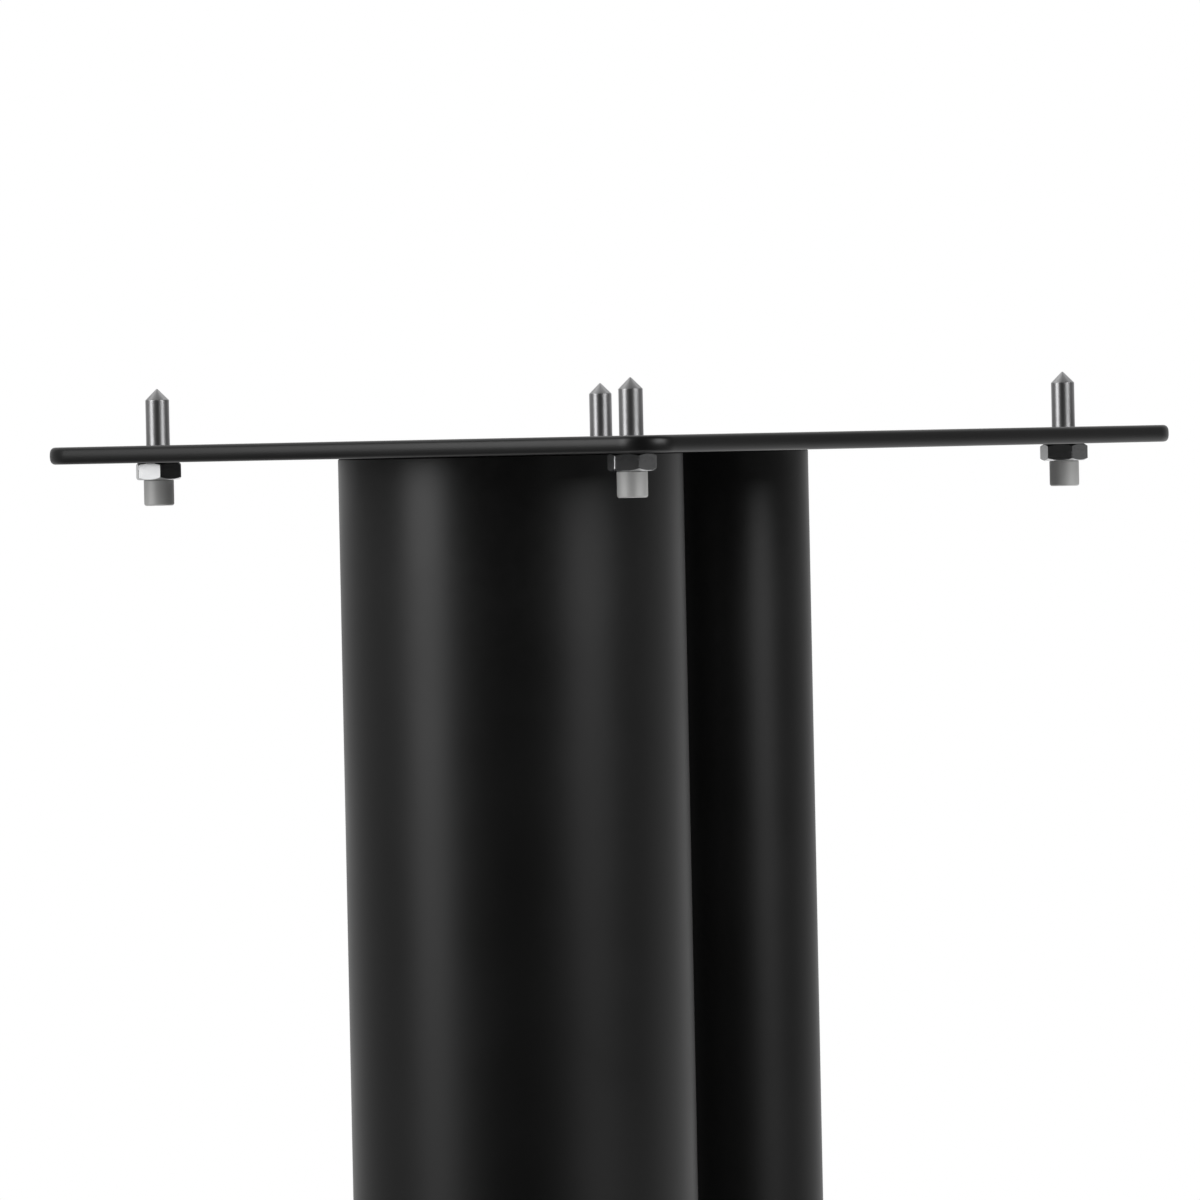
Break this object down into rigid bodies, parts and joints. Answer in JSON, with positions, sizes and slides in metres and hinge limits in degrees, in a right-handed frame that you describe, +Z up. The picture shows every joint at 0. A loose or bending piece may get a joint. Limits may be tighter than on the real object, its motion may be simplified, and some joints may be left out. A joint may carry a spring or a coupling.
{
  "type": "speaker stand",
  "caption": "Floor-standing speaker stand: a large and a small round steel column between a spiked base plate and a thin top plate with upturned spikes.",
  "frame": {"origin": "on the floor under the middle of the base plate", "axes": "+Z up, +Y towards the back, so the front with the large column faces -Y"},
  "size_m": [0.26, 0.31, 0.6131],
  "materials": {
    "steel_paint": "satin black powder coat",
    "bright_steel": "polished",
    "zinc_steel": "bright zinc plate",
    "black_screw": "black oxide",
    "raw_steel": "plain steel"
  },
  "bodies": {
    "stand": {"base_plate": "steel_paint", "top_plate": "steel_paint", "front_column": "steel_paint", "front_column_top_disc": "raw_steel", "front_column_foot_disc": "raw_steel", "top_plate_front_screw_1": "black_screw", "top_plate_front_screw_2": "black_screw", "top_plate_front_screw_3": "black_screw", "top_plate_front_screw_4": "black_screw", "base_plate_front_screw_1": "black_screw", "base_plate_front_screw_2": "black_screw", "base_plate_front_screw_3": "black_screw", "base_plate_front_screw_4": "black_screw", "rear_column": "steel_paint", "rear_column_top_disc": "raw_steel", "rear_column_foot_disc": "raw_steel", "top_plate_rear_screw_1": "black_screw", "top_plate_rear_screw_2": "black_screw", "base_plate_rear_screw_1": "black_screw", "base_plate_rear_screw_2": "black_screw"},
    "top_spike_front_left": {"top_spike_front_left": "bright_steel"},
    "top_lock_nut_front_left": {"top_lock_nut_front_left": "zinc_steel"},
    "top_spike_front_right": {"top_spike_front_right": "bright_steel"},
    "top_lock_nut_front_right": {"top_lock_nut_front_right": "zinc_steel"},
    "top_spike_rear_left": {"top_spike_rear_left": "bright_steel"},
    "top_lock_nut_rear_left": {"top_lock_nut_rear_left": "zinc_steel"},
    "top_spike_rear_right": {"top_spike_rear_right": "bright_steel"},
    "top_lock_nut_rear_right": {"top_lock_nut_rear_right": "zinc_steel"},
    "floor_spike_front_left": {"floor_spike_front_left": "bright_steel"},
    "floor_lock_nut_front_left": {"floor_lock_nut_front_left": "zinc_steel"},
    "floor_spike_front_right": {"floor_spike_front_right": "bright_steel"},
    "floor_lock_nut_front_right": {"floor_lock_nut_front_right": "zinc_steel"},
    "floor_spike_rear_left": {"floor_spike_rear_left": "bright_steel"},
    "floor_lock_nut_rear_left": {"floor_lock_nut_rear_left": "zinc_steel"},
    "floor_spike_rear_right": {"floor_spike_rear_right": "bright_steel"},
    "floor_lock_nut_rear_right": {"floor_lock_nut_rear_right": "zinc_steel"}
  },
  "joints": [
    {"name": "top_spike_front_left_height", "type": "slide", "parent": "stand", "child": "top_spike_front_left", "axis": [0, 0, 1], "range_m": [-0.003, 0]},
    {"name": "top_lock_nut_front_left_turn", "type": "hinge", "parent": "stand", "child": "top_lock_nut_front_left", "pos_m": [-0.0685, -0.086, 0.594], "axis": [0, 0, 1], "continuous": true},
    {"name": "top_spike_front_right_height", "type": "slide", "parent": "stand", "child": "top_spike_front_right", "axis": [0, 0, 1], "range_m": [-0.003, 0]},
    {"name": "top_lock_nut_front_right_turn", "type": "hinge", "parent": "stand", "child": "top_lock_nut_front_right", "pos_m": [0.0685, -0.086, 0.594], "axis": [0, 0, 1], "continuous": true},
    {"name": "top_spike_rear_left_height", "type": "slide", "parent": "stand", "child": "top_spike_rear_left", "axis": [0, 0, 1], "range_m": [-0.003, 0]},
    {"name": "top_lock_nut_rear_left_turn", "type": "hinge", "parent": "stand", "child": "top_lock_nut_rear_left", "pos_m": [-0.0685, 0.086, 0.594], "axis": [0, 0, 1], "continuous": true},
    {"name": "top_spike_rear_right_height", "type": "slide", "parent": "stand", "child": "top_spike_rear_right", "axis": [0, 0, 1], "range_m": [-0.003, 0]},
    {"name": "top_lock_nut_rear_right_turn", "type": "hinge", "parent": "stand", "child": "top_lock_nut_rear_right", "pos_m": [0.0685, 0.086, 0.594], "axis": [0, 0, 1], "continuous": true},
    {"name": "floor_spike_front_left_height", "type": "slide", "parent": "stand", "child": "floor_spike_front_left", "axis": [0, 0, 1], "range_m": [-0.006, 0.006]},
    {"name": "floor_lock_nut_front_left_turn", "type": "hinge", "parent": "stand", "child": "floor_lock_nut_front_left", "pos_m": [-0.108, -0.133, 0.0265], "axis": [0, 0, 1], "continuous": true},
    {"name": "floor_spike_front_right_height", "type": "slide", "parent": "stand", "child": "floor_spike_front_right", "axis": [0, 0, 1], "range_m": [-0.006, 0.006]},
    {"name": "floor_lock_nut_front_right_turn", "type": "hinge", "parent": "stand", "child": "floor_lock_nut_front_right", "pos_m": [0.108, -0.133, 0.0265], "axis": [0, 0, 1], "continuous": true},
    {"name": "floor_spike_rear_left_height", "type": "slide", "parent": "stand", "child": "floor_spike_rear_left", "axis": [0, 0, 1], "range_m": [-0.006, 0.006]},
    {"name": "floor_lock_nut_rear_left_turn", "type": "hinge", "parent": "stand", "child": "floor_lock_nut_rear_left", "pos_m": [-0.108, 0.133, 0.0265], "axis": [0, 0, 1], "continuous": true},
    {"name": "floor_spike_rear_right_height", "type": "slide", "parent": "stand", "child": "floor_spike_rear_right", "axis": [0, 0, 1], "range_m": [-0.006, 0.006]},
    {"name": "floor_lock_nut_rear_right_turn", "type": "hinge", "parent": "stand", "child": "floor_lock_nut_rear_right", "pos_m": [0.108, 0.133, 0.0265], "axis": [0, 0, 1], "continuous": true}
  ]
}
